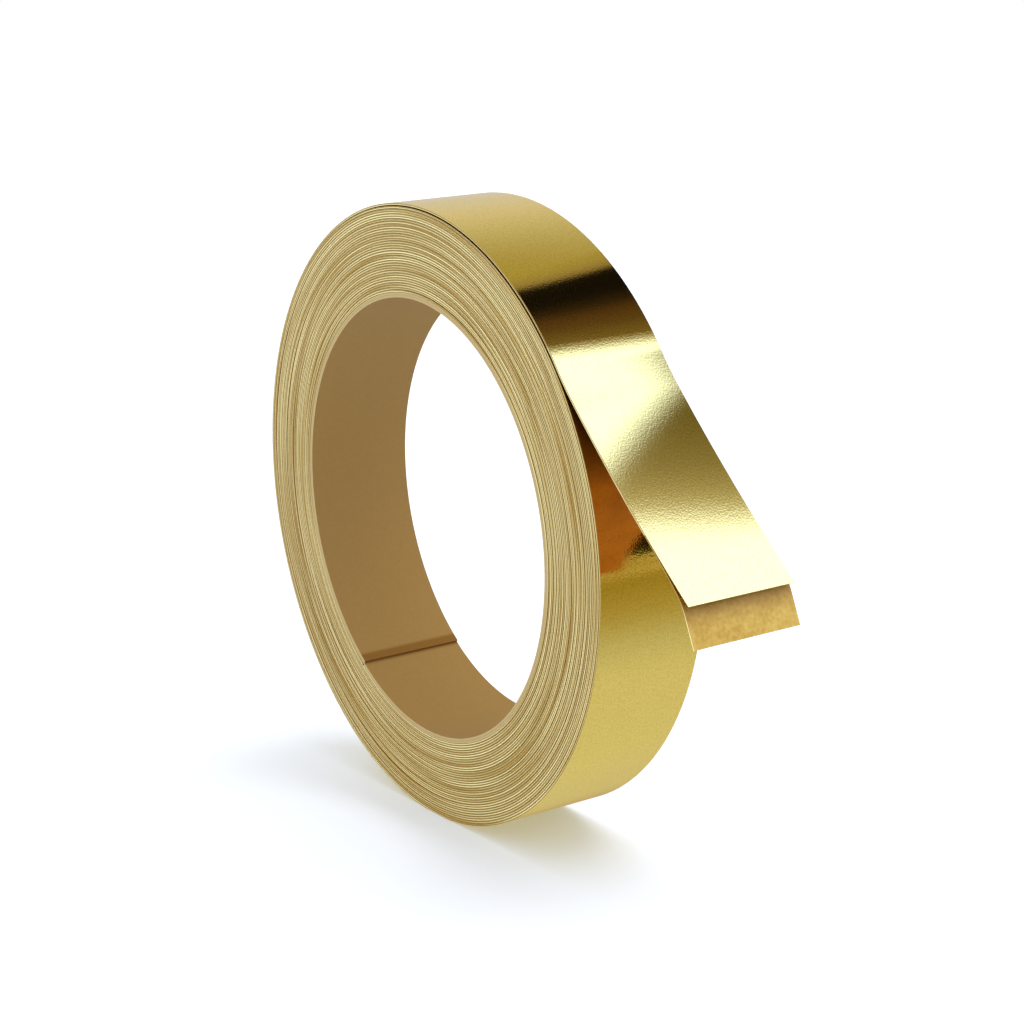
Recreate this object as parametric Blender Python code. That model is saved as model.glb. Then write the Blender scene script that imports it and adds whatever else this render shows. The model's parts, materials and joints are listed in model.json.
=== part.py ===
"""Roll of self-adhesive metal foil tape, standing on its rim with its free end peeled off.

Row frame: X to the right and +Z up, the roll's axis along Y, the origin on the ground under the
axis. Seen from -Y the tape winds outwards clockwise and its free end leaves towards +X.
Every wound layer is a real spiral strip; the free end is a chain of short links on hinges.
"""

import math

import bmesh
import bpy

MM = 0.001

# Driving dimensions, millimetres and degrees. Angles are counter-clockwise seen from -Y.
TAPE_WIDTH = 20.0
OUTER_RADIUS = 54.0       # over the foil where the last turn ends, before its own spring
BORE_RADIUS = 38.0        # the usual 76 mm core
CORE_PLY = 0.42           # board of the core, wound twice
CORE_PLIES = 2
CORE_PLY_GAP = 0.03
FOIL = 0.11
ADHESIVE = 0.05
LINER = 0.13
BOND_GAP = 0.03           # between foil, adhesive and liner
LEAST_TURN_GAP = 0.06     # air between two turns, before the turns are spread evenly
CORE_TO_TAPE_GAP = 0.05
PART_GAP = 0.3            # between pieces that meet end to end
SEAM_ANGLE = -127.0       # where the core strip starts inside
LEAVE_ANGLE = 35.0        # where the free end leaves the roll
SPRING_LIFT = 0.3         # how far the last turn has sprung off at its end
SPRING_SPAN = 100.0       # the angle over which it springs off
COARSE_STEPS = 18         # facets of one inner turn
FINE_PER_COARSE = 3       # the last turn has this many times more
FINE_TURNS = 1.1

TAIL_LENGTH = 44.2        # free end of the foil
ROOT_BEND = 7.2           # outward bend where the tape was peeled
ROOT_BEND_LENGTH = 6.0
TAIL_SWEEP_RADIUS = 324.0
HINGE_PLACES = (0.15, 5.6, 11.4, 17.2, 23.2, 29.2)   # along the free end
PARTING_PLACE = 32.2      # where the liner has come away, and from where the foil peels

LINER_OPEN = ((8.6, 4.0), (4.2, 22.0), (5.0, 0.0))   # arcs of the loose liner: length, inward turn
LINER_CURL_PLACE = 8.6    # the hinge of its tab, from where it parts
STRIP_STEP = 1.5          # facet length along the free end

BOND = FOIL + BOND_GAP + ADHESIVE + BOND_GAP + LINER
ADHESIVE_DEPTH = FOIL + BOND_GAP
LINER_DEPTH = ADHESIVE_DEPTH + ADHESIVE + BOND_GAP
HALF_WIDTH = TAPE_WIDTH / 2

# The core strip: its inner face starts on the bore and climbs one ply a turn.
CORE_PITCH = CORE_PLY + CORE_PLY_GAP

# The tape starts in the step at the end of the core strip and its turns fill the space evenly.
# The first turn starts high enough to clear the core's own outer end one turn later.
CORE_CLIMB = max(0.0, CORE_PITCH - BOND - LEAST_TURN_GAP)
CORE_TOP = BORE_RADIUS + (CORE_PLIES - 1) * CORE_PITCH + CORE_PLY
FIRST_FOIL_RADIUS = CORE_TOP + CORE_CLIMB + CORE_TO_TAPE_GAP + BOND
END_FRACTION = ((SEAM_ANGLE - LEAVE_ANGLE) % 360.0) / 360.0
MOST_TURNS = (OUTER_RADIUS - FIRST_FOIL_RADIUS) / (BOND + LEAST_TURN_GAP)
TURNS = math.floor(MOST_TURNS - END_FRACTION) + END_FRACTION
PITCH = (OUTER_RADIUS - FIRST_FOIL_RADIUS) / TURNS
START_ANGLE = LEAVE_ANGLE + TURNS * 360.0

COARSE_STEP = 360.0 / COARSE_STEPS
FINE_STEP = COARSE_STEP / FINE_PER_COARSE
FINE_BELOW = LEAVE_ANGLE + 360.0 * FINE_TURNS
FOOT_ANGLE = 270.0        # the facet that the roll stands on is centred here


def foil_radius(angle):
    """Outer face of the wound foil, at an angle counted down from START_ANGLE to LEAVE_ANGLE."""
    if abs(angle - FOOT_ANGLE) < FINE_STEP:
        angle = FOOT_ANGLE
    radius = OUTER_RADIUS - PITCH * (angle - LEAVE_ANGLE) / 360.0
    share = max(0.0, 1.0 - (angle - LEAVE_ANGLE) / SPRING_SPAN)
    return radius + SPRING_LIFT * share * share * (3.0 - 2.0 * share)


CENTRE_HEIGHT = foil_radius(FOOT_ANGLE) * math.cos(math.radians(FINE_STEP / 2))


def polar(radius, angle):
    turned = math.radians(angle)
    return radius * math.cos(turned), radius * math.sin(turned)


def chord_share(angle):
    """Share of the radius at which the flat of a coarse facet passes, 1 at its corners."""
    half = COARSE_STEP / 2
    off_centre = (angle - FOOT_ANGLE + half) % COARSE_STEP - half
    return math.cos(math.radians(half)) / math.cos(math.radians(off_centre))


def spiral_corners(start, end):
    """(angle, share of the radius) from start down to end, on one grid of facets for every turn.

    Turns share the grid, so their facets stay parallel. An end inside the roll lies on its facet.
    """
    corners = [(start, chord_share(start))]
    grid = FOOT_ANGLE + COARSE_STEP / 2
    angle = grid + COARSE_STEP * math.floor((start - grid) / COARSE_STEP - 0.02)
    while angle > end + 0.3 * FINE_STEP:
        corners.append((angle, 1.0))
        angle -= COARSE_STEP if angle - COARSE_STEP > FINE_BELOW else FINE_STEP
    corners.append((end, chord_share(end) if end > FINE_BELOW else 1.0))
    return corners


def material(name, colour, roughness, metallic):
    made = bpy.data.materials.new(name)
    made.use_nodes = True
    shader = made.node_tree.nodes["Principled BSDF"]
    shader.inputs["Base Color"].default_value = (*colour, 1.0)
    shader.inputs["Roughness"].default_value = roughness
    shader.inputs["Metallic"].default_value = metallic
    return made


def strip(name, outer, inner, look, origin=(0.0, 0.0)):
    """A closed strip across the tape's width between two lines of (x, z) points in millimetres.

    The object's own origin is put at origin, so a moving piece turns about its hinge.
    """
    mesh = bmesh.new()
    ring = []
    for (xo, zo), (xi, zi) in zip(outer, inner):
        corners = ((xo, -HALF_WIDTH, zo), (xo, HALF_WIDTH, zo), (xi, HALF_WIDTH, zi), (xi, -HALF_WIDTH, zi))
        ring.append([
            mesh.verts.new(((x - origin[0]) * MM, y * MM, (z - origin[1]) * MM)) for x, y, z in corners
        ])
    for here, there in zip(ring, ring[1:]):
        for k in range(4):
            n = (k + 1) % 4
            mesh.faces.new((here[k], here[n], there[n], there[k]))
    mesh.faces.new(ring[0][::-1])
    mesh.faces.new(ring[-1])
    bmesh.ops.recalc_face_normals(mesh, faces=mesh.faces)
    data = bpy.data.meshes.new(name)
    mesh.to_mesh(data)
    mesh.free()
    data.materials.append(look)
    made = bpy.data.objects.new(name, data)
    made.location = (origin[0] * MM, 0.0, (CENTRE_HEIGHT + origin[1]) * MM)
    bpy.context.scene.collection.objects.link(made)
    return made


def parent_to(child, parent):
    """Parents without moving: the parent's own place is taken off again."""
    child.location = child.location - parent_place(parent)
    child.parent = parent


def parent_place(thing):
    place = thing.location.copy()
    while thing.parent:
        thing = thing.parent
        place += thing.location
    return place


def joint_empty(name, place, parent=None):
    """An empty on a hinge's axis, which the pieces of that link hang from."""
    made = bpy.data.objects.new(name, None)
    made.location = (place[0] * MM, 0.0, (CENTRE_HEIGHT + place[1]) * MM)
    bpy.context.scene.collection.objects.link(made)
    if parent:
        parent_to(made, parent)
    return made


# ---- the roll ----

def wound_strip(name, depth, thickness, look):
    """One layer of the tape, wound: its outer face lies depth under the foil's outer face."""
    corners = spiral_corners(START_ANGLE, LEAVE_ANGLE)
    outer = [polar((foil_radius(a) - depth) * share, a) for a, share in corners]
    inner = [polar((foil_radius(a) - depth - thickness) * share, a) for a, share in corners]
    return strip(name, outer, inner, look)


def core_strip(look):
    """The core: one strip of board wound CORE_PLIES times, its inner end showing as a step."""
    last = START_ANGLE + math.degrees(PART_GAP / BORE_RADIUS)
    first = last + CORE_PLIES * 360.0
    inner = []
    outer = []
    for a, share in spiral_corners(first, last):
        radius = BORE_RADIUS + CORE_PITCH * (first - a) / 360.0
        inner.append(polar(radius * share, a))
        outer.append(polar((radius + CORE_PLY) * share, a))
    return strip("core", outer, inner, look)


# ---- the free end ----

def tail_heading(place):
    """Direction of the free end at a place along it, degrees."""
    bend = ROOT_BEND * min(place / ROOT_BEND_LENGTH, 1.0)
    sweep = math.degrees(max(place - ROOT_BEND_LENGTH, 0.0) / TAIL_SWEEP_RADIUS)
    return LEAVE_ANGLE - 90.0 + bend + sweep


def walk(start, heading_at, length, step=0.05):
    """Points and headings along a line that starts at start and turns as heading_at says."""
    steps = max(1, round(length / step))
    x, z = start
    line = [(0.0, x, z, heading_at(0.0))]
    for k in range(steps):
        middle = math.radians(heading_at((k + 0.5) * length / steps))
        x += math.cos(middle) * length / steps
        z += math.sin(middle) * length / steps
        place = (k + 1) * length / steps
        line.append((place, x, z, heading_at(place)))
    return line


TAIL_LINE = walk(polar(foil_radius(LEAVE_ANGLE), LEAVE_ANGLE), tail_heading, TAIL_LENGTH)


def under(line, place, depth):
    """The point depth under a line, square to it, at a place along it."""
    share = place / line[-1][0] * (len(line) - 1)
    k = min(int(share), len(line) - 2)
    part = share - k
    x = line[k][1] + (line[k + 1][1] - line[k][1]) * part
    z = line[k][2] + (line[k + 1][2] - line[k][2]) * part
    heading = math.radians(line[k][3] + (line[k + 1][3] - line[k][3]) * part)
    return x + math.sin(heading) * depth, z - math.cos(heading) * depth


def places_between(first, last):
    count = max(2, math.ceil((last - first) / STRIP_STEP))
    return [first + (last - first) * k / count for k in range(count + 1)]


def layer(name, line, first, last, depth, thickness, look, hinge):
    places = places_between(first, last)
    outer = [under(line, p, depth) for p in places]
    inner = [under(line, p, depth + thickness) for p in places]
    return hung(strip(name, outer, inner, look, hinge.hinge_place), hinge)


def hung(made, hinge):
    parent_to(made, hinge.empty)
    return made


def parting_liner(name, first, last, look, hinge):
    """The liner that leaves the foil: bonded from first to the parting place, then loose to last."""
    bonded = places_between(first, PARTING_PLACE)
    loose = places_between(0.0, last)[1:]
    faces = [
        [under(TAIL_LINE, p, LINER_DEPTH + d) for p in bonded] + [under(LINER_LINE, p, d) for p in loose]
        for d in (0.0, LINER)
    ]
    return hung(strip(name, *faces, look, hinge.hinge_place), hinge)


class Hinge:
    """A hinge across the tape, at a place along a line, in the middle of the layers given."""

    def __init__(self, name, line, place, depth, parent=None):
        self.hinge_place = under(line, place, depth)
        self.empty = joint_empty(name, self.hinge_place, parent.empty if parent else None)


def liner_heading(place):
    heading = tail_heading(PARTING_PLACE)
    for length, turn in LINER_OPEN:
        here = min(place, length)
        heading -= turn * here / length
        place -= here
    return heading


LINER_LINE = walk(
    under(TAIL_LINE, PARTING_PLACE, LINER_DEPTH), liner_heading, sum(length for length, _ in LINER_OPEN)
)


def main():
    for old in list(bpy.data.objects):
        bpy.data.objects.remove(old, do_unlink=True)

    foil_look = material("brass_foil", (0.78, 0.57, 0.18), 0.15, 1.0)
    adhesive_look = material("clear_adhesive", (0.72, 0.60, 0.36), 0.25, 0.0)
    liner_look = material("kraft_liner", (0.55, 0.36, 0.14), 0.7, 0.0)
    core_look = material("kraft_board", (0.29, 0.18, 0.05), 0.85, 0.0)
    layers = (
        ("foil", 0.0, FOIL, foil_look),
        ("adhesive", ADHESIVE_DEPTH, ADHESIVE, adhesive_look),
        ("liner", LINER_DEPTH, LINER, liner_look),
    )

    core_strip(core_look)
    for name, depth, thickness, look in layers:
        wound_strip(name + "_wound", depth, thickness, look)

    half_gap = PART_GAP / 2
    ends = HINGE_PLACES[1:] + (PARTING_PLACE,)
    hinge = None
    for k, (start, end) in enumerate(zip(HINGE_PLACES, ends), 1):
        hinge = Hinge(f"tail_{k}_hinge", TAIL_LINE, start, BOND / 2, hinge)
        for name, depth, thickness, look in layers:
            if name == "liner" and end == PARTING_PLACE:
                parting_liner(f"{name}_tail_{k}", start + half_gap, LINER_CURL_PLACE - half_gap, look, hinge)
                continue
            layer(
                f"{name}_tail_{k}", TAIL_LINE, start + half_gap, end - half_gap, depth, thickness, look, hinge
            )

    peel = Hinge("foil_peel_hinge", TAIL_LINE, PARTING_PLACE, (ADHESIVE_DEPTH + ADHESIVE) / 2, hinge)
    for name, depth, thickness, look in layers[:2]:
        layer(
            f"{name}_end", TAIL_LINE, PARTING_PLACE + half_gap, TAIL_LENGTH, depth, thickness, look, peel
        )

    tab = Hinge("liner_tab_hinge", LINER_LINE, LINER_CURL_PLACE, LINER / 2, hinge)
    layer(
        "liner_tab", LINER_LINE, LINER_CURL_PLACE + half_gap, LINER_LINE[-1][0], 0.0, LINER, liner_look, tab
    )


main()
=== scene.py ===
import json
import math

import bmesh
import bpy
from mathutils import Matrix, Vector, noise


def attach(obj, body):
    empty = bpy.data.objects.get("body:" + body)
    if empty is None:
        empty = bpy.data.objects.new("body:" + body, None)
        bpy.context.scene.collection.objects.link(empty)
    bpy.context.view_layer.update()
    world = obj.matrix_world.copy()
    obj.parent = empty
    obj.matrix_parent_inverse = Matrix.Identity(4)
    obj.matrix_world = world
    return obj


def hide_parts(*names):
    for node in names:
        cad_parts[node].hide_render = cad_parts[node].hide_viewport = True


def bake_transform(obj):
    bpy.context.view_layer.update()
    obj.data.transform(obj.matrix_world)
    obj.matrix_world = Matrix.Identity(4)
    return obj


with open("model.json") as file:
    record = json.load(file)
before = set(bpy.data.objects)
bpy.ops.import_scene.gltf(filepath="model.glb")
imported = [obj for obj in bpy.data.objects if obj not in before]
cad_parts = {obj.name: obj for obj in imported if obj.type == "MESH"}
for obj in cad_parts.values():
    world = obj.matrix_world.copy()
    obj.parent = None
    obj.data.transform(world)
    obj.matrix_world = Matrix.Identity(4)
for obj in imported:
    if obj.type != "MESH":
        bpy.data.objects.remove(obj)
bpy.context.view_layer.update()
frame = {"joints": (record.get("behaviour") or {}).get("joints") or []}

mm = 0.001

# the tape as it is wound, in millimetres and degrees; angles run anticlockwise seen from -Y
tape = {
    "width": 20.0,
    "outerRadius": 54.0,     # over the foil where the last turn ends
    "firstRadius": 39.31,    # over the foil where the first turn starts, on the core
    "turns": 35.55,
    "leaveAngle": 35.0,      # where the free end leaves the roll
    "springLift": 0.3,       # the last turn has sprung off by this much
    "springSpan": 100.0,
    "stepAngle": 2.0,
    "smoothAngle": 4.2,      # the last stretch of the last turn belongs to the free end
}

# the free end, peeled off the roll; places are measured along it from where it leaves
freeEnd = {
    "length": 44.2,
    "rootBend": 7.2,
    "rootBendLength": 6.0,
    "sweepRadius": 324.0,
    "hinges": (0.15, 5.6, 11.4, 17.2, 23.2, 29.2),
    "parting": 32.2,         # the liner has come away from here on
    "linerOpen": ((8.6, 4.0), (4.2, 22.0), (5.0, 0.0)),   # arcs: length, inward turn
    "linerHinge": 8.6,
    "peelLength": 4.0,       # the foil's bend is spread over this when it is peeled further
    "hingeDepth": 0.175,     # half of the bonded tape
    "linerDepth": 0.22,      # of the loose liner's own line
    "settleLength": 3.0,     # over which the bonded liner eases to that line
    "tabBend": 2.0,          # the tab's bend runs this far to each side of its hinge
    "tipShadeStart": 9.0,       # painted shade of the foil's tip: the glazed side is darker up to here
    "tipShadeFade": 6.5,
    "step": 0.4,
}

# each layer of the tape: how deep its outer face lies, its thickness and its material slot
layers = {
    "foil": {"depth": 0.0, "thickness": 0.10, "slot": "brass_foil"},
    "adhesive": {"depth": 0.115, "thickness": 0.04, "slot": "clear_adhesive"},
    "liner": {"depth": 0.17, "thickness": 0.17, "slot": "kraft_liner"},
}


def polar(radius, angle):
    turned = math.radians(angle)
    return Vector((radius * math.cos(turned), 0.0, radius * math.sin(turned)))


tape["pitch"] = (tape["outerRadius"] - tape["firstRadius"]) / tape["turns"]
tape["startAngle"] = tape["leaveAngle"] + 360.0 * tape["turns"]


def foilRadius(angle):
    wound = (angle - tape["leaveAngle"]) / 360.0
    near = max(0.0, 1.0 - (angle - tape["leaveAngle"]) / tape["springSpan"])
    sprung = tape["springLift"] * near * near * (3.0 - 2.0 * near)
    return tape["outerRadius"] - tape["pitch"] * wound + sprung


def tailHeading(place):
    bend = freeEnd["rootBend"] * min(place / freeEnd["rootBendLength"], 1.0)
    swept = max(place - freeEnd["rootBendLength"], 0.0) / freeEnd["sweepRadius"]
    return tape["leaveAngle"] - 90.0 + bend + math.degrees(swept)


def linerHeading(place):
    heading = tailHeading(freeEnd["parting"])
    for length, turn in freeEnd["linerOpen"]:
        heading -= turn * min(place, length) / length
        place -= min(place, length)
    return heading


def walk(start, headingAt, length, step=0.05):
    # points and headings along a line that turns as headingAt says
    count = round(length / step)
    point = start.copy()
    line = [(point.copy(), headingAt(0.0))]
    for k in range(count):
        point = point + polar(length / count, headingAt((k + 0.5) * length / count))
        line.append((point.copy(), headingAt((k + 1) * length / count)))
    return line, length


def under(track, place, depth):
    # the point depth under a line, square to it
    line, length = track
    at = min(max(place / length, 0.0), 1.0) * (len(line) - 1)
    k = min(int(at), len(line) - 2)
    point = line[k][0].lerp(line[k + 1][0], at - k)
    heading = line[k][1] + (line[k + 1][1] - line[k][1]) * (at - k)
    return point + polar(depth, heading - 90.0)


tailTrack = walk(polar(foilRadius(tape["leaveAngle"]), tape["leaveAngle"]), tailHeading, freeEnd["length"])
linerStart = under(tailTrack, freeEnd["parting"], freeEnd["linerDepth"])
linerTrack = walk(linerStart, linerHeading, sum(length for length, turn in freeEnd["linerOpen"]))

# the roll's axis, found from the frame's first hinge
rootJoint = next(joint for joint in frame["joints"] if joint["name"] == "tail_lift")
rollAxis = Vector(rootJoint["pos_m"]) / mm - under(tailTrack, freeEnd["hinges"][0], freeEnd["hingeDepth"])
rollAxis.y = 0.0
print("roll axis in mm", tuple(round(value, 3) for value in rollAxis))


def linear(hexColour):
    shares = [int(hexColour[k:k + 2], 16) / 255.0 for k in (1, 3, 5)]
    return (*[s / 12.92 if s <= 0.04045 else ((s + 0.055) / 1.055) ** 2.4 for s in shares], 1.0)


def addNode(tree, kind, inputs=None, **settings):
    made = tree.nodes.new(kind)
    for name, value in settings.items():
        setattr(made, name, value)
    for socket, value in (inputs or {}).items():
        if isinstance(value, bpy.types.NodeSocket):
            tree.links.new(value, made.inputs[socket])
        else:
            made.inputs[socket].default_value = value
    return made


def addRamp(tree, factor, stops):
    ramp = addNode(tree, "ShaderNodeValToRGB", {"Fac": factor})
    elements = ramp.color_ramp.elements
    while len(elements) < len(stops):
        elements.new(0.5)
    for element, (position, colour) in zip(elements, stops):
        element.position = position
        element.color = linear(colour)
    return ramp.outputs["Color"]


def newFinish(name, colour, roughness, metallic=0.0):
    finish = bpy.data.materials.new(name)
    finish.use_nodes = True
    tree = finish.node_tree
    shader = tree.nodes["Principled BSDF"]
    shader.inputs["Base Color"].default_value = linear(colour)
    shader.inputs["Roughness"].default_value = roughness
    shader.inputs["Metallic"].default_value = metallic
    return finish, tree, shader


def inMillimetres(tree):
    # Object coordinates are in metres
    place = addNode(tree, "ShaderNodeTexCoord").outputs["Object"]
    scaled = addNode(tree, "ShaderNodeVectorMath", {0: place, 1: (1000.0,) * 3}, operation="MULTIPLY")
    return scaled.outputs[0]


def brassFoil():
    # rolled brass-coloured mirror foil: sharp reflections, broken up by a fine satin grain, drawn a
    # little coarser than it is so that it shows, and bent by the slight waves of a hand-wound strip
    look = {"colour": "#f4de92", "dull": "#e6cf84", "roughness": 0.1, "grain": 0.3, "grainHeight": 0.01,
            "wave": 11.0, "waveHeight": 0.016}
    finish, tree, shader = newFinish("brassFoil", look["colour"], look["roughness"], 1.0)
    place = inMillimetres(tree)
    grain = addNode(tree, "ShaderNodeTexNoise", {
        "Vector": place, "Scale": 1.0 / look["grain"], "Detail": 1.0})
    wave = addNode(tree, "ShaderNodeTexNoise", {"Vector": place, "Scale": 1.0 / look["wave"], "Detail": 1.0})
    waved = addNode(tree, "ShaderNodeBump", {
        "Height": wave.outputs["Fac"], "Distance": look["waveHeight"] * mm, "Strength": 1.0})
    bumped = addNode(tree, "ShaderNodeBump", {
        "Height": grain.outputs["Fac"], "Distance": look["grainHeight"] * mm, "Strength": 1.0,
        "Normal": waved.outputs["Normal"]})
    tree.links.new(bumped.outputs["Normal"], shader.inputs["Normal"])
    speck = addRamp(tree, grain.outputs["Fac"], ((0.34, look["dull"]), (0.6, look["colour"])))
    tree.links.new(speck, shader.inputs["Base Color"])
    return finish


def kraftLiner():
    # kraft paper, glazed with silicone on the side that held the foil: fibre mottling, a low gloss on the
    # glazed side, a deep orange-brown back, and pale cut edges that vary at random from turn to turn; painted
    # shade makes the glazed side and its cut edges darker near the foil's tip, and the back darker where it
    # closes on the roll
    look = {"dark": "#a8832c", "light": "#d2b25c", "tipShade": "#7f4c04",
            "back": "#bd7206", "backDark": "#9a5a06", "edgeDark": "#b8944a", "edgeLight": "#fff2b4",
            "fibre": 0.7, "cloud": 3.5, "roughness": 0.5,
            "shadeLength": 7.0}
    finish, tree, shader = newFinish("kraftLiner", look["light"], look["roughness"])
    shader.inputs["Specular IOR Level"].default_value = 0.2
    place = inMillimetres(tree)
    fibre = addNode(tree, "ShaderNodeTexNoise", {
        "Vector": place, "Scale": 1.0 / look["fibre"], "Detail": 4.0, "Roughness": 0.6})
    cloud = addNode(tree, "ShaderNodeTexNoise", {
        "Vector": place, "Scale": 1.0 / look["cloud"], "Detail": 2.0})
    mottle = addNode(tree, "ShaderNodeMix", {
        "Factor": 0.45, 2: fibre.outputs["Fac"], 3: cloud.outputs["Fac"]})
    clean = addRamp(tree, mottle.outputs[0], ((0.3, look["dark"]), (0.68, look["light"])))
    toneAndShade = addNode(tree, "ShaderNodeAttribute", attribute_name="toneAndShade").outputs["Fac"]
    # the glazed side takes the painted shade colour by this attribute: painted shade under the foil's tip on
    # the liner tab, a fixed share on the free end and a random share on the wound strip
    glazed = addNode(tree, "ShaderNodeMix", {"Factor": toneAndShade, 6: linear(look["tipShade"]), 7: clean},
                     data_type="RGBA").outputs[2]
    back = addRamp(tree, mottle.outputs[0], ((0.3, look["backDark"]), (0.7, look["back"])))
    # painted shade: ambient occlusion darkens the back where the paper closes on the roll
    near = addNode(tree, "ShaderNodeAmbientOcclusion", {"Color": back, "Distance": look["shadeLength"] * mm})
    isBack = addNode(tree, "ShaderNodeAttribute", attribute_name="backFace").outputs["Fac"]
    face = addNode(tree, "ShaderNodeMix", {
        "Factor": isBack, 6: glazed, 7: near.outputs["Color"]}, data_type="RGBA")
    # cut edges vary in tone from turn to turn; on the liner tab they also carry the painted shade near the
    # foil's tip
    cut = addRamp(tree, toneAndShade, ((0.2, look["edgeDark"]), (0.75, look["edgeLight"])))
    isEdge = addNode(tree, "ShaderNodeAttribute", attribute_name="cutEdge").outputs["Fac"]
    colour = addNode(tree, "ShaderNodeMix", {"Factor": isEdge, 6: face.outputs[2], 7: cut}, data_type="RGBA")
    tree.links.new(colour.outputs[2], shader.inputs["Base Color"])
    bumped = addNode(tree, "ShaderNodeBump", {
        "Height": fibre.outputs["Fac"], "Distance": 0.006 * mm, "Strength": 0.6})
    tree.links.new(bumped.outputs["Normal"], shader.inputs["Normal"])
    return finish


def clearAdhesive():
    # clear acrylic adhesive: warm and glossy, with the foil showing through
    finish, tree, shader = newFinish("clearAdhesive", "#f0d79a", 0.12)
    shader.inputs["Transmission Weight"].default_value = 0.8
    shader.inputs["IOR"].default_value = 1.47
    place = inMillimetres(tree)
    drag = addNode(tree, "ShaderNodeTexNoise", {"Vector": place, "Scale": 0.7, "Detail": 2.0})
    bumped = addNode(tree, "ShaderNodeBump", {
        "Height": drag.outputs["Fac"], "Distance": 0.01 * mm, "Strength": 0.5})
    tree.links.new(bumped.outputs["Normal"], shader.inputs["Normal"])
    return finish


def kraftBoard():
    # kraft board: matte and even, with faint pressed fibres; a narrow band along its inner end is darker
    look = {"colour": "#927138", "light": "#96753b", "seamDark": "#7d5410", "edge": "#bfa873", "fibre": 0.8}
    finish, tree, shader = newFinish("kraftBoard", look["colour"], 0.85)
    place = inMillimetres(tree)
    fibre = addNode(tree, "ShaderNodeTexNoise", {
        "Vector": place, "Scale": 1.0 / look["fibre"], "Detail": 5.0, "Roughness": 0.65})
    face = addRamp(tree, fibre.outputs["Fac"], ((0.35, look["colour"]), (0.65, look["light"])))
    seamDark = addNode(tree, "ShaderNodeAttribute", attribute_name="seamDark").outputs["Fac"]
    seamDarkened = addNode(tree, "ShaderNodeMix", {
        "Factor": seamDark, 6: face, 7: linear(look["seamDark"])}, data_type="RGBA")
    isEdge = addNode(tree, "ShaderNodeAttribute", attribute_name="cutEdge").outputs["Fac"]
    colour = addNode(tree, "ShaderNodeMix", {
        "Factor": isEdge, 6: seamDarkened.outputs[2], 7: linear(look["edge"])}, data_type="RGBA")
    tree.links.new(colour.outputs[2], shader.inputs["Base Color"])
    bumped = addNode(tree, "ShaderNodeBump", {
        "Height": fibre.outputs["Fac"], "Distance": 0.02 * mm, "Strength": 0.4})
    tree.links.new(bumped.outputs["Normal"], shader.inputs["Normal"])
    return finish


finishes = {
    "brass_foil": brassFoil(),
    "kraft_liner": kraftLiner(),
    "clear_adhesive": clearAdhesive(),
    "kraft_board": kraftBoard(),
}
print("finishes made")


def layStrip(steps, placeOf, acrossSteps=1):
    # a flat strip of size one is cut, given its thickness, and then laid where placeOf says
    strip = bmesh.new()
    bmesh.ops.create_grid(strip, x_segments=steps, y_segments=acrossSteps, size=0.5)
    thick = bmesh.ops.extrude_face_region(strip, geom=strip.faces[:], use_keep_orig=True)
    lower = [item for item in thick["geom"] if isinstance(item, bmesh.types.BMVert)]
    bmesh.ops.translate(strip, verts=lower, vec=(0.0, 0.0, 1.0))
    # per corner: the edge's uneven tone on the wound strips, the painted shade of the foil's tip on the liner
    # tab
    toneAndShade = strip.verts.layers.float.new("toneAndShade")
    back = strip.faces.layers.float.new("backFace")
    for face in strip.faces:
        face[back] = float(face.calc_center_median().z > 0.9)
    for corner in strip.verts:
        along, across, depth = corner.co.x + 0.5, 2.0 * corner.co.y, corner.co.z
        corner.co, corner[toneAndShade] = placeOf(along, across, depth)
    bmesh.ops.scale(strip, verts=strip.verts, vec=(mm, mm, mm))
    bmesh.ops.recalc_face_normals(strip, faces=strip.faces)
    return strip


def finishPiece(name, strip, slot, nodes):
    data = bpy.data.meshes.new(name)
    strip.to_mesh(data)
    strip.free()
    edge = data.attributes.new("cutEdge", "FLOAT", "FACE")
    edge.data.foreach_set("value", [float(abs(face.normal.y) > 0.7) for face in data.polygons])
    data.materials.append(finishes[slot])
    data.shade_smooth()
    data.set_sharp_from_angle(angle=math.radians(40.0))
    piece = bpy.data.objects.new(name, data)
    bpy.context.scene.collection.objects.link(piece)
    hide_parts(*nodes)
    return piece


# how unevenly the turns lie, in millimetres
winding = {
    "wander": 0.12,          # sideways, over about three quarters of a turn
    "ripple": 0.035,
    "jitter": 0.02,          # in radius
    "gaps": (                # turn counted from outside, middle angle, span, width
        (1.0, 85.0, 55.0, 0.025),
        (2.0, 75.0, 70.0, 0.055),
        (1.0, 5.0, 75.0, 0.09),
        (2.0, 350.0, 60.0, 0.06),
        (3.0, 170.0, 75.0, 0.09),
        (5.0, 15.0, 50.0, 0.05),
        (9.0, 150.0, 60.0, 0.05),
        (15.0, 200.0, 80.0, 0.05),
        (6.0, 60.0, 70.0, 0.04),
    ),
}


def sideways(turn):
    # the strip slides from side to side as it is wound, and runs true at its free end
    settled = min(1.0, turn / 1.5)
    slow = noise.noise(Vector((turn * 1.3, 0.0, 3.1)))
    quick = noise.noise(Vector((turn * 9.0, 7.7, 0.0)))
    return settled * (winding["wander"] * slow + winding["ripple"] * quick)


def squeezed(turn, angle):
    # a loose turn stands off, and the next few turns inside it lie closer together
    inward = 0.0
    for loose, middle, span, width in winding["gaps"]:
        inside = turn - loose
        off = abs((angle - middle + 180.0) % 360.0 - 180.0) / span
        if inside >= 0.0 and off < 1.0:
            inward += width * (1.0 - off * off) ** 2 * math.exp(-0.8 * inside) * min(1.0, inside / 0.15)
    return inward


def edgeTone(turn, angle):
    turned = math.radians(angle)
    layerTurn = math.floor(turn) * 3.7
    return 0.5 + 0.5 * noise.noise(Vector((math.cos(turned) * 2.0, math.sin(turned) * 2.0, layerTurn)))


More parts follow.
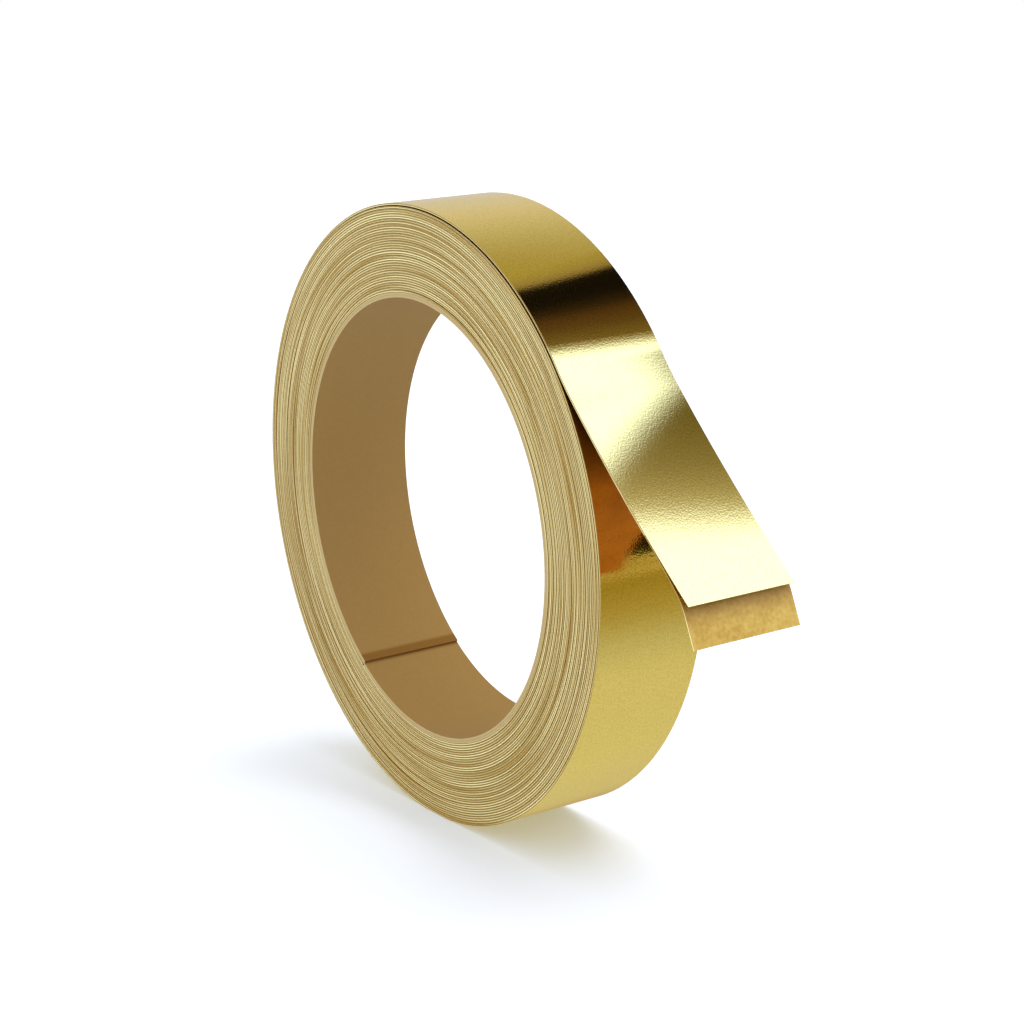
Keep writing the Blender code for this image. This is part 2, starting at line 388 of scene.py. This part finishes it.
def windStrip(name, node):
    layer = layers[name]
    start, end = tape["startAngle"], tape["leaveAngle"] + tape["smoothAngle"]

    def placeOf(along, across, depth):
        angle = start + (end - start) * along
        turn = (angle - tape["leaveAngle"]) / 360.0
        fade = min(1.0, (angle - end) / 90.0)
        loose = squeezed(turn, angle) + winding["jitter"] * noise.noise(Vector((turn * 2.2, 1.7, 0.0)))
        radius = foilRadius(angle) - layer["depth"] - layer["thickness"] * depth - fade * loose
        point = polar(radius, angle) + rollAxis
        point.y = across * tape["width"] / 2 + sideways(turn)
        point.z = max(point.z, 0.0)       # the rim is flat where it stands
        return point, edgeTone(turn, angle)

    strip = layStrip(round((start - end) / tape["stepAngle"]), placeOf)
    piece = finishPiece(name + "Wound", strip, layer["slot"], [node])
    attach(piece, "roll")


for layerName in layers:
    windStrip(layerName, layerName + "_wound")
print("three layers wound")


board = {
    "bore": 38.0,
    "ply": 0.42,
    "pitch": 0.45,
    "plies": 2,
    "partGap": 0.3,
    "seamDarkSpan": 2.2,         # degrees along the inner end that are drawn darker
}


def windBoard():
    last = tape["startAngle"] + math.degrees(board["partGap"] / board["bore"])
    first = last + 360.0 * board["plies"]

    def placeOf(along, across, depth):
        angle = first + (last - first) * along
        radius = board["bore"] + board["pitch"] * (first - angle) / 360.0 + board["ply"] * (1.0 - depth)
        point = polar(radius, angle) + rollAxis
        point.y = across * tape["width"] / 2
        return point, 0.5

    strip = layStrip(360 * board["plies"], placeOf)
    seamDark = strip.verts.layers.float.new("seamDark")
    for corner in strip.verts:
        angle = math.degrees(math.atan2(corner.co.z - rollAxis.z * mm, corner.co.x))
        reach = Vector((corner.co.x, corner.co.z - rollAxis.z * mm)).length / mm
        out = (reach - board["bore"]) / board["ply"]
        past = (angle - first + 180.0) % 360.0 - 180.0
        corner[seamDark] = float(-board["seamDarkSpan"] < past < 0.3 and out < 1.1)
    piece = finishPiece("coreBoard", strip, "kraft_board", ["core"])
    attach(piece, "roll")


windBoard()
print("core wound")


def layTail(name, layerName, first, last, nodes):
    layer = layers[layerName]
    length = last - first

    def placeOf(along, across, depth):
        place = first + length * along
        deep = layer["depth"] + layer["thickness"] * depth
        if place < 0.0:
            angle = tape["leaveAngle"] - math.degrees(place / tape["outerRadius"])
            point = polar(foilRadius(angle) - deep, angle)
        else:
            point = under(tailTrack, place, deep)
        point = point + rollAxis
        point.y = across * tape["width"] / 2
        return point, 0.6

    strip = layStrip(max(4, round(length / freeEnd["step"])), placeOf)
    piece = finishPiece(name, strip, layer["slot"], nodes)
    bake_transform(piece)


links = freeEnd["hinges"] + (freeEnd["parting"],)
middles = [(start + end) / 2 for start, end in zip(links, links[1:])]
woundPlace = -math.radians(tape["smoothAngle"]) * tape["outerRadius"]
for layerName in layers:
    for k, (first, last) in enumerate(zip([woundPlace] + middles, middles), 1):
        layTail(f"{layerName}Tail{k}", layerName, first, last, [f"{layerName}_tail_{k}"])
    if layerName != "liner":
        layTail(layerName + "End", layerName, middles[-1], freeEnd["length"], [layerName + "_end"])
print("free end laid")


def layTab():
    layer = layers["liner"]
    bonded = freeEnd["parting"] - middles[-1]
    length = bonded + linerTrack[1]

    def placeOf(along, across, depth):
        place = length * along - bonded
        deep = layer["depth"] + layer["thickness"] * depth
        if place < 0.0:
            point = under(tailTrack, freeEnd["parting"] + place, deep)
        else:
            settle = max(0.0, 1.0 - place / freeEnd["settleLength"])
            loose = layer["thickness"] * depth * (1.0 - settle)
            point = under(linerTrack, place, (deep - freeEnd["linerDepth"]) * settle + loose)
        point = point + rollAxis
        point.y = across * tape["width"] / 2
        # painted shade of the foil's tip: darkest up to the start, clearing over the fade
        return point, min(max((place - freeEnd["tipShadeStart"]) / freeEnd["tipShadeFade"], 0.0), 1.0)

    strip = layStrip(round(length / freeEnd["step"]), placeOf, acrossSteps=8)
    piece = finishPiece("linerTab", strip, layer["slot"], ["liner_tab"])
    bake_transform(piece)


layTab()
print("liner tab laid")


def addStage(name, corners, look):
    mesh = bmesh.new()
    mesh.faces.new([mesh.verts.new(corner) for corner in corners])
    data = bpy.data.meshes.new(name)
    mesh.to_mesh(data)
    mesh.free()
    data.materials.append(look)
    made = bpy.data.objects.new(name, data)
    bpy.context.scene.collection.objects.link(made)
    return made


studio = {
    "floorSize": 8.0,
    "floor": "#ecf2fd",
    "floorGlow": 0.06,        # keeps the far part of the shadow faint
    "sunStrength": 1.3,
    "sunSoftness": 45.0,
    "sunPlace": (0.22, 0.3, 1.0),
    # what the foil mirrors, by height of the direction from -1 to 1: the near and the far side
    "leftWalls": (
        (-0.84, "#dfddb3"), (-0.60, "#d4c88e"), (-0.45, "#c2aa70"), (-0.20, "#cabfa8"), (0.09, "#dad2c4"),
        (0.37, "#ded8c4"), (0.50, "#dfd5bc"), (0.61, "#d4ceaf"), (0.70, "#c7c099"), (0.77, "#baaf7f"),
        (0.82, "#b1a45d"),
    ),
    "rightWalls": (
        (-0.80, "#dedbb5"), (-0.72, "#dedab6"), (-0.61, "#cccba7"), (-0.47, "#b5a665"),
        (-0.31, "#a08b35"), (-0.27, "#a08b40"), (-0.262, "#d6c47e"), (-0.247, "#d6c47e"),
        (-0.237, "#8f7624"), (-0.222, "#8f7624"), (-0.208, "#e4d080"), (-0.194, "#e0cc7c"),
        (-0.18, "#120c04"), (0.20, "#0c0703"), (0.30, "#ffffff"),
    ),
}


def makeStudio():
    scene = bpy.context.scene
    half = studio["floorSize"] / 2
    plain, tree, shader = newFinish("studioFloor", studio["floor"], 1.0)
    shader.inputs["Emission Color"].default_value = (0.93, 0.97, 1.0, 1.0)
    shader.inputs["Emission Strength"].default_value = studio["floorGlow"]
    floor = addStage("floor", [(-half, -half, 0), (half, -half, 0), (half, half, 0), (-half, half, 0)], plain)
    floor.visible_glossy = False
    sun = bpy.data.lights.new("sun", "SUN")
    sun.energy = studio["sunStrength"]
    sun.angle = math.radians(studio["sunSoftness"])
    lamp = bpy.data.objects.new("sun", sun)
    lamp.rotation_euler = (-Vector(studio["sunPlace"])).to_track_quat("-Z", "Y").to_euler()
    lamp.visible_glossy = False
    scene.collection.objects.link(lamp)

    # a white room for everything but mirrors, which see soft walls and a gap of dark between them
    world = bpy.data.worlds.new("studio")
    scene.world = world
    world.use_nodes = True
    tree = world.node_tree
    white = tree.nodes["Background"]
    white.inputs["Color"].default_value = (1.0, 1.0, 1.0, 1.0)
    direction = addNode(tree, "ShaderNodeTexCoord").outputs["Generated"]
    parts = addNode(tree, "ShaderNodeSeparateXYZ", {0: direction})
    height = addNode(tree, "ShaderNodeMapRange", {"Value": parts.outputs["Z"], "From Min": -1.0})
    side = addNode(tree, "ShaderNodeMapRange", {
        "Value": parts.outputs["X"], "From Min": -0.12, "From Max": 0.12})
    walls = [addRamp(tree, height.outputs[0], [((z + 1.0) / 2, tint) for z, tint in studio[name]])
             for name in ("leftWalls", "rightWalls")]
    both = addNode(tree, "ShaderNodeMix", {
        "Factor": side.outputs[0], 6: walls[0], 7: walls[1]}, data_type="RGBA")
    mirrored = addNode(tree, "ShaderNodeBackground", {"Color": both.outputs[2]})
    path = addNode(tree, "ShaderNodeLightPath")
    direct = addNode(tree, "ShaderNodeMath", {
        0: path.outputs["Diffuse Depth"], 1: 0.5}, operation="LESS_THAN")
    isMirror = addNode(tree, "ShaderNodeMath", {0: path.outputs["Is Glossy Ray"], 1: direct.outputs[0]},
                       operation="MULTIPLY")
    mixed = addNode(tree, "ShaderNodeMixShader", {
        0: isMirror.outputs[0], 1: white.outputs[0], 2: mirrored.outputs[0]})
    tree.links.new(mixed.outputs[0], tree.nodes["World Output"].inputs["Surface"])
    scene.view_settings.view_transform = "Standard"


# a painted card close over the free end, seen only in the foil: white, with a grey wedge and a black edge
card = {
    "place": (70.7, 26.4, 54.8),      # from the roll's axis
    "azimuth": 22.0,
    "elevation": 50.7,
    "spin": 31.05,
    "low": (-60.0, -60.0),
    "high": (52.0, 60.0),
    "white": 3.4,
    "whiteTint": "#b8ccf0",            # cool, so that brass mirrors it as cream
    "edge": (                          # across the card, in mm
        (12.5, "#cfc9a0"), (16.0, "#a89a5c"), (19.0, "#7c6a30"), (24.0, "#604a24"), (28.5, "#523a1a"),
        (32.0, "#2c2010"), (36.0, "#120c06"), (44.0, "#0a0603"), (45.2, "#95825a"), (48.2, "#aa9c62"),
        (51.5, "#b1a45d"),
    ),
    "edgeFade": (12.5, 18.5),
    "wedgeFade": (-4.4, 0.6),
    "wedgeUpperFade": (3.4, -3.0),
    "wedgeUpper": (0.865, 0.502, 6.92),
    "wedgeLeft": (0.976, -0.218, -3.25),
    "wedge": ((-2.2, "#ffffff"), (0.0, "#c4c0a4"), (3.0, "#a69e7e"), (6.0, "#8e845e"), (12.0, "#706636")),
}


def makeCard():
    look = bpy.data.materials.new("studioCard")
    look.use_nodes = True
    tree = look.node_tree
    tree.nodes.clear()
    place = inMillimetres(tree)
    parts = addNode(tree, "ShaderNodeSeparateXYZ", {0: place})

    def across(normal):
        # distance past a straight line on the card
        turned = addNode(tree, "ShaderNodeVectorMath", {0: place, 1: (normal[0], normal[1], 0.0)},
                         operation="DOT_PRODUCT").outputs["Value"]
        return addNode(tree, "ShaderNodeMath", {0: turned, 1: normal[2]}, operation="SUBTRACT").outputs[0]

    def share(value, low, high, smooth=True):
        return addNode(tree, "ShaderNodeMapRange", {"Value": value, "From Min": low, "From Max": high},
                       interpolation_type="SMOOTHSTEP" if smooth else "LINEAR").outputs[0]

    white = addNode(tree, "ShaderNodeEmission", {
        "Color": linear(card["whiteTint"]), "Strength": card["white"]})
    left = across(card["wedgeLeft"])
    stops = card["wedge"]
    wedgeTint = addRamp(tree, share(left, stops[0][0], stops[-1][0], False),
                        [((at - stops[0][0]) / (stops[-1][0] - stops[0][0]), tint) for at, tint in stops])
    wedge = addNode(tree, "ShaderNodeEmission", {"Color": wedgeTint})
    inWedge = addNode(tree, "ShaderNodeMath", {
        0: share(left, *card["wedgeFade"]), 1: share(across(card["wedgeUpper"]), *card["wedgeUpperFade"])},
        operation="MULTIPLY")
    bright = addNode(tree, "ShaderNodeMixShader", {
        0: inWedge.outputs[0], 1: white.outputs[0], 2: wedge.outputs[0]})
    stops = card["edge"]
    edgeTint = addRamp(tree, share(parts.outputs["X"], stops[0][0], stops[-1][0], False),
                       [((at - stops[0][0]) / (stops[-1][0] - stops[0][0]), tint) for at, tint in stops])
    edge = addNode(tree, "ShaderNodeEmission", {"Color": edgeTint})
    onEdge = share(parts.outputs["X"], *card["edgeFade"])
    painted = addNode(tree, "ShaderNodeMixShader", {0: onEdge, 1: bright.outputs[0], 2: edge.outputs[0]})
    output = addNode(tree, "ShaderNodeOutputMaterial")
    tree.links.new(painted.outputs[0], output.inputs["Surface"])

    low, high = card["low"], card["high"]
    made = addStage("card", [(x * mm, y * mm, 0.0) for x, y in (
        low, (high[0], low[1]), high, (low[0], high[1]))], look)
    azimuth, elevation, spin = (math.radians(card[key]) for key in ("azimuth", "elevation", "spin"))
    facing = Vector((math.sin(azimuth) * math.cos(elevation), math.cos(azimuth) * math.cos(elevation),
                     math.sin(elevation)))
    level = Vector((0.0, 0.0, 1.0)).cross(facing).normalized()
    raised = facing.cross(level)
    first = level * math.cos(spin) + raised * math.sin(spin)
    second = raised * math.cos(spin) - level * math.sin(spin)
    where = (rollAxis + Vector(card["place"])) * mm
    made.matrix_world = Matrix.Translation(where) @ Matrix((first, second, facing)).transposed().to_4x4()
    for kind in ("visible_camera", "visible_diffuse", "visible_shadow", "visible_transmission"):
        setattr(made, kind, False)


camera = {
    "azimuth": 57.316,
    "elevation": 12.986,
    "roll": -2.895,
    "distance": 391.919,
    "right": 7.632,
    "up": -0.388,
    "lens": 79.177,
}


def placeCamera():
    azimuth, elevation, roll = (math.radians(camera[key]) for key in ("azimuth", "elevation", "roll"))
    back = Vector((math.sin(azimuth) * math.cos(elevation), -math.cos(azimuth) * math.cos(elevation),
                   math.sin(elevation)))
    level = Vector((math.cos(azimuth), math.sin(azimuth), 0.0))
    upward = back.cross(level)
    right = level * math.cos(roll) + upward * math.sin(roll)
    up = upward * math.cos(roll) - level * math.sin(roll)
    place = (rollAxis + back * camera["distance"] + right * camera["right"] + up * camera["up"]) * mm
    lens = bpy.data.cameras.new("camera")
    lens.lens = camera["lens"]
    lens.clip_start = 0.01
    made = bpy.data.objects.new("camera", lens)
    made.matrix_world = Matrix.Translation(place) @ Matrix((right, up, back)).transposed().to_4x4()
    bpy.context.scene.collection.objects.link(made)
    bpy.context.scene.camera = made


makeStudio()
makeCard()
placeCamera()
print("studio and camera set")

bpy.context.view_layer.update()
